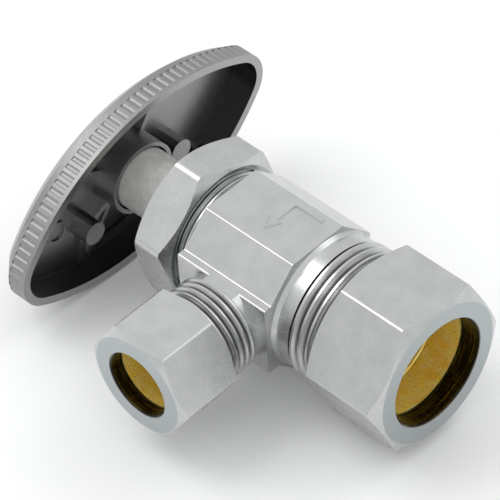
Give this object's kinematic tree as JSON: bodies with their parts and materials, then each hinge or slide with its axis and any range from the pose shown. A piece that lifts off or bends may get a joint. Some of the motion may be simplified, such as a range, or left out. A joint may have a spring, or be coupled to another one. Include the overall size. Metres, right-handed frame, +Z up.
{
  "type": "angle stop valve",
  "caption": "Right-angle water shut-off valve with a compression inlet, a smaller compression outlet at its side, a rising stem and an oval handle.",
  "frame": {"origin": "centre of the ledge inside the inlet socket where the supply pipe's end stops, on the inlet axis", "axes": "+X out of the inlet along the supply pipe, -Y out of the outlet, +Z up at right angles to both; the handle is towards -X"},
  "size_m": [0.0626, 0.0519, 0.0262],
  "materials": {
    "chrome_body": "satin chrome plate over forged brass",
    "chrome_bonnet": "satin chrome plate",
    "chrome_inlet_nut": "satin chrome plate",
    "chrome_outlet_nut": "satin chrome plate",
    "nickel_handle": "nickel plated die casting, dull satin",
    "acetal_stem": "off-white moulded acetal",
    "brass_ferrule": "bare turned brass",
    "screw_brass": "bare brass",
    "screw_steel": "zinc plated steel",
    "black_rubber": "matt black rubber",
    "fibre_gasket": "pressed fibre"
  },
  "bodies": {
    "body": {"valve_body": "chrome_body", "bonnet": "chrome_bonnet", "bonnet_gasket": "fibre_gasket"},
    "washer_carrier": {"seat_washer": "black_rubber"},
    "stem_and_handle": {"stem": "acetal_stem", "stem_o_ring_inner": "black_rubber", "stem_o_ring_outer": "black_rubber", "washer_screw": "screw_brass", "handle": "nickel_handle", "handle_screw": "screw_steel"},
    "inlet_sleeve": {"inlet_ferrule": "brass_ferrule"},
    "inlet_nut": {"inlet_nut": "chrome_inlet_nut"},
    "outlet_sleeve": {"outlet_ferrule": "brass_ferrule"},
    "outlet_nut": {"outlet_nut": "chrome_outlet_nut"}
  },
  "joints": [
    {"name": "stem_travel", "type": "slide", "parent": "body", "child": "washer_carrier", "axis": [1, 0, 0], "range_m": [0, 0.004]},
    {"name": "handle_turn", "type": "hinge", "parent": "washer_carrier", "child": "stem_and_handle", "pos_m": [-0.008, 0, 0], "axis": [1, 0, 0], "range_deg": [0, 720]},
    {"name": "inlet_nut_travel", "type": "slide", "parent": "body", "child": "inlet_sleeve", "axis": [1, 0, 0], "range_m": [0, 0.00564]},
    {"name": "inlet_nut_turn", "type": "hinge", "parent": "inlet_sleeve", "child": "inlet_nut", "pos_m": [0, 0, 0], "axis": [1, 0, 0], "range_deg": [0, 1440]},
    {"name": "outlet_nut_travel", "type": "slide", "parent": "body", "child": "outlet_sleeve", "axis": [0, -1, 0], "range_m": [0, 0.00423]},
    {"name": "outlet_nut_turn", "type": "hinge", "parent": "outlet_sleeve", "child": "outlet_nut", "pos_m": [-0.008, -0.014, 0], "axis": [0, -1, 0], "range_deg": [0, 1440]}
  ],
  "couplings": [
    {"joint": "handle_turn", "follows": "stem_travel", "rad_per_m": 3141.6},
    {"joint": "inlet_nut_turn", "follows": "inlet_nut_travel", "rad_per_m": 4453},
    {"joint": "outlet_nut_turn", "follows": "outlet_nut_travel", "rad_per_m": 5938.7}
  ]
}
